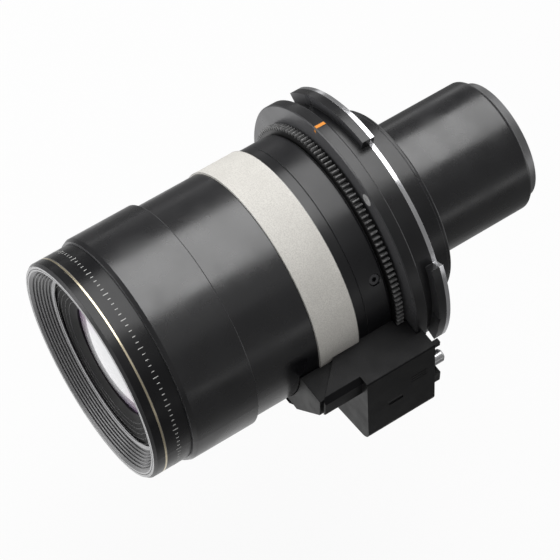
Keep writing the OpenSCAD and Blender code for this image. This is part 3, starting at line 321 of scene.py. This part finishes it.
barrel_black = black_metal("barrel_black", dark=(0.0045, 0.0045, 0.0058), painted_face_reflection=(0.12, 0.12, 0.125),
                           roughness=0.27, mark_depth=0.000006, gloss=0.95)
rear_black = black_metal("rear_black", dark=(0.0050, 0.0050, 0.0064), painted_face_reflection=(0.12, 0.12, 0.125),
                         roughness=0.32, mark_depth=0.000006, gloss=0.60)
rim_black = black_metal("rim_black", dark=(0.006, 0.006, 0.007), painted_face_reflection=(0.46, 0.46, 0.465),
                        roughness=0.28, mark_depth=0.000008, gloss=0.38)
flange_black = black_metal("flange_black", dark=(0.006, 0.006, 0.007), painted_face_reflection=(0.09, 0.09, 0.095),
                           roughness=0.30, mark_depth=0.000010, gloss=0.6)
inner_black = black_metal("inner_black", dark=(0.004, 0.004, 0.004), painted_face_reflection=(0.012, 0.012, 0.012),
                          roughness=0.50, mark_depth=0.000010, gloss=0.2)
for finish in (barrel_black, rear_black, rim_black, flange_black, inner_black):
    print(finish.name, len(finish.node_tree.nodes), "nodes")

# %% [markdown]
# ## The speckled band
# The pale band is a coat with a fine speckle, warm grey and matt. Two noises of different grain
# are multiplied: the fine one gives the speckle, the coarse one the slight cloudiness. The same
# speckle lifts the bump a few hundredths of a millimetre, so the band breaks up the highlight.

# %% Mix the band's finish
SPECKLE_SCALE = 1900.0
speckled_coat, tree, shader = start_finish("speckled_coat", (0.68, 0.66, 0.62), 0.0, 0.62)
place = lathe_coordinates(tree)[0]
grain = noise(tree, place, SPECKLE_SCALE, 3.0, 0.7)
cloud = noise(tree, place, 90.0, 2.0)
speckle = mix_colours(tree, stretch(tree, grain, 0.34, 0.62, 0.0, 1.0),
                      (0.60, 0.58, 0.54), (0.82, 0.80, 0.75))
feed(tree, shader.inputs["Base Color"],
     mix_colours(tree, stretch(tree, cloud, 0.35, 0.7, 0.0, 0.35), speckle, (0.62, 0.60, 0.56)))
feed(tree, shader.inputs["Normal"], relief(tree, grain, 0.00003, soft_edges(tree, 0.0002)))
print("speckle grain is about", round(1000 / SPECKLE_SCALE, 2), "mm")

# %% [markdown]
# ## The toothed ring
# The teeth are black too, but they rub against their pinion, so the tips are bare and grey. The
# radius tells tip from root: a smooth step between the two radii mixes black with worn grey.

# %% Mix the finish of the teeth
ROOT_RADIUS, TIP_RADIUS = 0.0568, 0.0584
toothed_black, tree, shader = start_finish("toothed_black", (0.02, 0.02, 0.02), 0.0, 0.38)
place, radius = lathe_coordinates(tree)[:2]
scuff = calculate(tree, "MULTIPLY", stretch(tree, radius, ROOT_RADIUS, TIP_RADIUS, 0.0, 1.0),
                  stretch(tree, noise(tree, place, 700.0, 2.0), 0.3, 0.6, 0.35, 1.0))
feed(tree, shader.inputs["Base Color"],
     mix_colours(tree, scuff, (0.012, 0.012, 0.012), (0.22, 0.22, 0.22)))
feed(tree, shader.inputs["Normal"], soft_edges(tree, 0.00015))
print("teeth worn between radii", ROOT_RADIUS, "and", TIP_RADIUS)

# %% [markdown]
# ## Bright metals
# The bayonet plate, the screws and the pins are bare or plated metal. A metal's colour is in its
# reflection, so the base colour is pale and Metallic is 1. What tells turned steel from polished
# is the direction of its marks, so the same lathe noise goes into roughness and bump.

# %% Mix the metals
def bright_metal(name, colour, roughness, mark_depth):
    finish, tree, shader = start_finish(name, colour, 1.0, roughness)
    place, radius, station, walked = lathe_coordinates(tree)
    lathe = lathe_marks(tree, radius, station, walked)
    smear = noise(tree, place, 150.0, 3.0)
    tint = mix_colours(tree, stretch(tree, smear, 0.35, 0.75, 0.0, 0.22), colour,
                       tuple(0.72 * part for part in colour))
    feed(tree, shader.inputs["Base Color"], tint)
    feed(tree, shader.inputs["Roughness"],
         stretch(tree, lathe, 0.3, 0.7, roughness - 0.05, roughness + 0.10))
    feed(tree, shader.inputs["Normal"], relief(tree, lathe, mark_depth, soft_edges(tree, 0.0002)))
    return finish


plated = bright_metal("plated_steel", (0.82, 0.82, 0.84), 0.16, 0.000004)
screw_steel = bright_metal("screw_steel", (0.70, 0.70, 0.71), 0.24, 0.000004)
satin_rim = bright_metal("satin_rim", (0.30, 0.30, 0.305), 0.36, 0.000006)
motor_steel = bright_metal("motor_steel", (0.58, 0.58, 0.60), 0.30, 0.000004)
plain_brass = bright_metal("plain_brass", (0.80, 0.62, 0.32), 0.26, 0.000004)
gold_line = bright_metal("gold_line", (0.80, 0.71, 0.52), 0.26, 0.000003)
black_oxide = bright_metal("black_oxide", (0.10, 0.10, 0.105), 0.26, 0.000003)
zinc_plate = bright_metal("zinc_plate", (0.80, 0.80, 0.80), 0.34, 0.000003)
zinc_plate.node_tree.nodes["Principled BSDF"].inputs["Metallic"].default_value = 0.4
print("eight metals mixed")

# %% [markdown]
# ## Moulded plastic
# The cover of the drive block is black moulded plastic. Its mould was eroded by sparks, which
# leaves a fine even grain that scatters the highlight. A cell texture looks like that grain when
# it is small, about a third of a millimetre, and only a few hundredths high.

# %% Mix the plastics
COVER_GRAIN_SCALE = 2600.0
CONNECTOR_GRAIN_SCALE = 3600.0
GRAIN_DEPTH = 0.00004
PLASTIC_EDGE = 0.00035


def grained_plastic(name, colour, roughness, grain_scale):
    finish, tree, shader = start_finish(name, colour, 0.0, roughness)
    shader.inputs["Specular IOR Level"].default_value = 0.16
    place = lathe_coordinates(tree)[0]
    cells = add_node(tree, "ShaderNodeTexVoronoi", feature="F1")
    feed(tree, cells.inputs["Vector"], place)
    cells.inputs["Scale"].default_value = grain_scale
    cloud = noise(tree, place, 120.0, 3.0)
    feed(tree, shader.inputs["Base Color"],
         mix_colours(tree, stretch(tree, cloud, 0.3, 0.7, 0.0, 0.5), colour,
                     tuple(1.8 * part for part in colour)))
    feed(tree, shader.inputs["Roughness"],
         stretch(tree, cloud, 0.3, 0.7, roughness - 0.06, roughness + 0.06))
    feed(tree, shader.inputs["Normal"],
         relief(tree, cells.outputs["Distance"], GRAIN_DEPTH, soft_edges(tree, PLASTIC_EDGE)))
    return finish


cover_grain = grained_plastic("cover_plastic", (0.004, 0.004, 0.0045), 0.42, COVER_GRAIN_SCALE)
connector_grain = grained_plastic("connector_plastic", (0.006, 0.006, 0.006), 0.40,
                                  CONNECTOR_GRAIN_SCALE)
print("grain of the cover is about", round(1000 / COVER_GRAIN_SCALE, 2), "mm")

# %% [markdown]
# ## Paint and the circuit board
# The index mark is orange paint in a shallow engraving, slightly uneven where it was wiped in.
# The board hides in the drive block. Its green lacquer over copper tracks is a brick texture with
# thin joints, seen only where the cover lets light in.

# %% Mix the paints and the board
def wiped_paint(name, colour, roughness):
    finish, tree, shader = start_finish(name, colour, 0.0, roughness)
    place = lathe_coordinates(tree)[0]
    uneven = noise(tree, place, 1800.0, 2.0)
    feed(tree, shader.inputs["Base Color"],
         mix_colours(tree, stretch(tree, uneven, 0.4, 0.8, 0.0, 0.4), colour,
                     tuple(0.75 * part for part in colour)))
    feed(tree, shader.inputs["Normal"], relief(tree, uneven, 0.00001))
    return finish


orange_paint = wiped_paint("orange_paint", (0.90, 0.32, 0.03), 0.45)
tick_paint = wiped_paint("tick_paint", (0.78, 0.78, 0.76), 0.50)

board_lacquer, tree, shader = start_finish("board_lacquer", (0.02, 0.14, 0.06), 0.0, 0.35)
tracks = add_node(tree, "ShaderNodeTexBrick")
place = lathe_coordinates(tree)[0]
turned = add_node(tree, "ShaderNodeVectorRotate", rotation_type="Y_AXIS")
turned.inputs["Angle"].default_value = math.pi / 2
feed(tree, turned.inputs["Vector"], place)
feed(tree, tracks.inputs["Vector"], turned.outputs[0])
tracks.inputs["Scale"].default_value = 220.0
tracks.inputs["Mortar Size"].default_value = 0.03
tracks.inputs["Color1"].default_value = (0.02, 0.14, 0.06, 1.0)
tracks.inputs["Color2"].default_value = (0.02, 0.17, 0.07, 1.0)
tracks.inputs["Mortar"].default_value = (0.10, 0.30, 0.12, 1.0)
feed(tree, shader.inputs["Base Color"], tracks.outputs["Color"])
print("paints and board lacquer mixed")

# %% [markdown]
# ## Coated glass
# The front glass is coated against reflections, and what it still reflects is lilac, strongest
# near its rim where the surface slopes. Behind it the other lenses throw the studio's white
# back. Both are painted into the base colour: a painted reflection that runs from white in the
# middle to lilac at the rim, mixed by the radius, and only part of the light goes through.

# %% Mix the glass
GLASS_RADIUS = 0.029
coated_glass, tree, shader = start_finish("coated_glass", (0.9, 0.88, 0.95), 0.0, 0.04)
place, radius = lathe_coordinates(tree)[:2]
rim = stretch(tree, radius, 0.50 * GLASS_RADIUS, 0.90 * GLASS_RADIUS, 0.0, 1.0)
drift = noise(tree, place, 45.0, 1.0)
coat = mix_colours(tree, stretch(tree, drift, 0.35, 0.65, 0.0, 1.0),
                   (0.66, 0.50, 0.80), (0.80, 0.56, 0.72))
# painted reflection: white in the middle and lilac at the rim, set in the base colour
feed(tree, shader.inputs["Base Color"], mix_colours(tree, rim, (0.98, 0.98, 1.0), coat))
shader.inputs["Transmission Weight"].default_value = 0.12
shader.inputs["IOR"].default_value = 1.6
shader.inputs["Coat Weight"].default_value = 1.0
shader.inputs["Coat Roughness"].default_value = 0.02

clear_glass, tree, shader = start_finish("clear_glass", (0.86, 0.88, 0.93), 0.0, 0.03)
radius = lathe_coordinates(tree)[1]
feed(tree, shader.inputs["Base Color"],
     mix_colours(tree, stretch(tree, radius, 0.01, 0.036, 0.0, 1.0),
                 (0.93, 0.95, 0.97), (0.70, 0.74, 0.90)))
shader.inputs["Transmission Weight"].default_value = 0.8
shader.inputs["IOR"].default_value = 1.5
print("two kinds of glass mixed")

# %% [markdown]
# ## Giving each solid its finish
# Every solid gets one material by filling its slots. The list says which finish belongs to which
# solid, and a last look makes sure that none was forgotten.

# %% Dress the solids
WEARS = {
    barrel_black: ["casing", "front_barrel", "rear_tube"],
    rear_black: ["main_barrel"],
    rim_black: ["name_ring", "front_ring"],
    flange_black: ["mount_flange", "bayonet_ring", "rear_collar"],
    inner_black: ["baffle_ring", "guide_tube", "rear_spacers", "focus_ring", "lens_sleeve",
                  "front_spacer", "front_retainer", "cam_barrel", "variator_cell",
                  "variator_retainer", "compensator_cell", "compensator_retainer"],
    speckled_coat: ["grey_band"],
    toothed_black: ["zoom_gear"],
    plated: ["bayonet_plate"],
    black_oxide: ["set_screw"],
    zinc_plate: ["flange_screws"],
    screw_steel: ["barrel_screws", "bayonet_screws", "base_screws",
                  "cover_screws", "guide_pin", "drive_pins", "focus_shaft", "zoom_shaft"],
    satin_rim: ["rear_rim"],
    motor_steel: ["focus_motor", "zoom_motor"],
    plain_brass: ["contact_pins", "focus_followers", "variator_followers", "compensator_followers",
                  "focus_pinion", "zoom_pinion"],
    gold_line: ["trim_ring"],
    cover_grain: ["motor_base", "motor_cover"],
    connector_grain: ["connector_body"],
    orange_paint: ["index_mark"],
    board_lacquer: ["circuit_board"],
    coated_glass: ["front_lens_1"],
    clear_glass: ["front_lens_2", "front_lens_3", "variator_lens_1", "variator_lens_2",
                  "compensator_lens", "rear_lens_1", "rear_lens_2", "rear_lens_3"],
}
undressed = set(solids)
for finish, names in WEARS.items():
    for name in names:
        slots = solids[name].data.materials
        if not slots:
            slots.append(finish)
        for index in range(len(slots)):
            slots[index] = finish
        undressed.discard(name)
    print(finish.name, "on", len(names))
print("solids without a finish:", sorted(undressed))

# %% [markdown]
# ## Growing repeated detail with Geometry Nodes
# Ticks and fine rings repeat by a rule, and Geometry Nodes are made for that: one small tree says
# the rule, and named inputs give its sizes. The helper below starts such a tree, and the next
# one runs it and keeps the result as a plain mesh, so that nothing is left to be worked out later.

# %% Helpers for Geometry Nodes
def start_tree(name, inputs):
    tree = bpy.data.node_groups.new(name, "GeometryNodeTree")
    tree.interface.new_socket("Geometry", in_out="OUTPUT", socket_type="NodeSocketGeometry")
    for label, kind in inputs:
        tree.interface.new_socket(label, in_out="INPUT", socket_type="NodeSocket" + kind)
    return tree, add_node(tree, "NodeGroupInput").outputs, add_node(tree, "NodeGroupOutput").inputs


def finish_tree(tree, instances, finish, result):
    realize = add_node(tree, "GeometryNodeRealizeInstances")
    feed(tree, realize.inputs[0], instances)
    paint = add_node(tree, "GeometryNodeSetMaterial")
    feed(tree, paint.inputs["Geometry"], realize.outputs[0])
    feed(tree, paint.inputs["Material"], finish)
    feed(tree, result[0], paint.outputs[0])


def grow(name, tree, values):
    piece = bpy.data.objects.new(name, bpy.data.meshes.new(name))
    bpy.context.scene.collection.objects.link(piece)
    rule = piece.modifiers.new("rule", "NODES")
    rule.node_group = tree
    for item in tree.interface.items_tree:
        if item.in_out == "INPUT":
            rule[item.identifier] = values[item.name]
    result = bpy.data.meshes.new_from_object(
        piece.evaluated_get(bpy.context.evaluated_depsgraph_get()))
    piece.modifiers.remove(rule)
    piece.data = result
    print(name, "has", len(result.polygons), "faces")
    return piece


def points_round(tree, count, radius, station):
    spread = add_node(tree, "GeometryNodePoints")
    feed(tree, spread.inputs["Count"], count)
    index = add_node(tree, "GeometryNodeInputIndex").outputs[0]
    angle = calculate(tree, "DIVIDE", calculate(tree, "MULTIPLY", index, math.tau), count)
    feed(tree, spread.inputs["Position"], combine(
        tree, calculate(tree, "MULTIPLY", calculate(tree, "COSINE", angle), radius), station,
        calculate(tree, "MULTIPLY", calculate(tree, "SINE", angle), radius)))
    return spread.outputs[0], index, angle


print("growing helpers ready")

# %% [markdown]
# ## Ticks on the name ring
# The name ring carries a scale of plain printed ticks. A small block is set at every step round
# the ring, turned to look outwards, and every fifth one is full length. They stand only a few
# hundredths of a millimetre proud, as ink does.

# %% Grow the ticks
tick_tree, given, result = start_tree("ticks_round", [
    ("Count", "Int"), ("Radius", "Float"), ("Station", "Float"), ("Length", "Float"),
    ("Width", "Float"), ("Thickness", "Float"), ("Short Share", "Float"), ("Every", "Float"),
    ("Finish", "Material")])
points, index, angle = points_round(tick_tree, given["Count"], given["Radius"], given["Station"])
block = add_node(tick_tree, "GeometryNodeMeshCube")
feed(tick_tree, block.inputs["Size"],
     combine(tick_tree, given["Thickness"], given["Length"], given["Width"]))
is_long = calculate(tick_tree, "LESS_THAN",
                    calculate(tick_tree, "MODULO", index, given["Every"]), 0.5)
length_share = stretch(tick_tree, is_long, 0.0, 1.0, given["Short Share"], 1.0)
stand = add_node(tick_tree, "GeometryNodeInstanceOnPoints")
feed(tick_tree, stand.inputs["Points"], points)
feed(tick_tree, stand.inputs["Instance"], block.outputs["Mesh"])
feed(tick_tree, stand.inputs["Rotation"], combine(
    tick_tree, 0.0, calculate(tick_tree, "MULTIPLY", angle, -1.0), 0.0))
feed(tick_tree, stand.inputs["Scale"], combine(tick_tree, 1.0, length_share, 1.0))
finish_tree(tick_tree, stand.outputs[0], given["Finish"], result)

name_ticks = grow("name_ticks", tick_tree, {
    "Count": 120, "Radius": 0.05537, "Station": -0.1279, "Length": 0.0026, "Width": 0.0003,
    "Thickness": 0.00012, "Short Share": 0.55, "Every": 5.0, "Finish": tick_paint})
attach(name_ticks, "front_group")

# %% [markdown]
# ## Fine rings on the baffle and round the band
# The dark cone round the glass has shallow rings that catch stray light, and each end of the
# pale band has a thin bright edge. Both are circles swept with a fine wire. The circles are laid
# out by index, each with its own radius and station, and only then given their thickness, so
# that a larger ring isn't a thicker one.

# %% Grow the rings
RING_SIDES = 180
WIRE_SIDES = 8

ring_tree, given, result = start_tree("fine_rings", [
    ("Count", "Int"), ("First Radius", "Float"), ("Radius Step", "Float"),
    ("First Station", "Float"), ("Station Step", "Float"), ("Wire", "Float"),
    ("Finish", "Material")])
spread = add_node(ring_tree, "GeometryNodePoints")
feed(ring_tree, spread.inputs["Count"], given["Count"])
index = add_node(ring_tree, "GeometryNodeInputIndex").outputs[0]
station = calculate(ring_tree, "ADD", given["First Station"],
                    calculate(ring_tree, "MULTIPLY", index, given["Station Step"]))
size = calculate(ring_tree, "ADD", given["First Radius"],
                 calculate(ring_tree, "MULTIPLY", index, given["Radius Step"]))
feed(ring_tree, spread.inputs["Position"], combine(ring_tree, 0.0, station, 0.0))
circle = add_node(ring_tree, "GeometryNodeCurvePrimitiveCircle")
circle.inputs["Resolution"].default_value = RING_SIDES
circle.inputs["Radius"].default_value = 1.0
lay = add_node(ring_tree, "GeometryNodeInstanceOnPoints")
feed(ring_tree, lay.inputs["Points"], spread.outputs[0])
feed(ring_tree, lay.inputs["Instance"], circle.outputs[0])
lay.inputs["Rotation"].default_value = (math.pi / 2, 0.0, 0.0)
feed(ring_tree, lay.inputs["Scale"], combine(ring_tree, size, size, 1.0))
loose = add_node(ring_tree, "GeometryNodeRealizeInstances")
feed(ring_tree, loose.inputs[0], lay.outputs[0])
wire = add_node(ring_tree, "GeometryNodeCurvePrimitiveCircle")
wire.inputs["Resolution"].default_value = WIRE_SIDES
feed(ring_tree, wire.inputs["Radius"], given["Wire"])
sweep = add_node(ring_tree, "GeometryNodeCurveToMesh")
feed(ring_tree, sweep.inputs["Curve"], loose.outputs[0])
feed(ring_tree, sweep.inputs["Profile Curve"], wire.outputs[0])
finish_tree(ring_tree, sweep.outputs[0], given["Finish"], result)

baffle_lo, baffle_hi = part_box("baffle_ring")
print("baffle stations", round(baffle_lo.y, 5), "to", round(baffle_hi.y, 5))
baffle_rings = grow("baffle_rings", ring_tree, {
    "Count": 5, "First Radius": 0.0315, "Radius Step": 0.0024, "First Station": -0.1316,
    "Station Step": -0.00046, "Wire": 0.00012, "Finish": barrel_black})
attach(baffle_rings, "front_group")

band_lo, band_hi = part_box("grey_band")
band_edges = grow("band_edges", ring_tree, {
    "Count": 2, "First Radius": band_hi.z - 0.0001, "Radius Step": 0.0,
    "First Station": band_lo.y + 0.00012, "Station Step": band_hi.y - band_lo.y - 0.00024,
    "Wire": 0.00014, "Finish": satin_rim})
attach(band_edges, "housing")
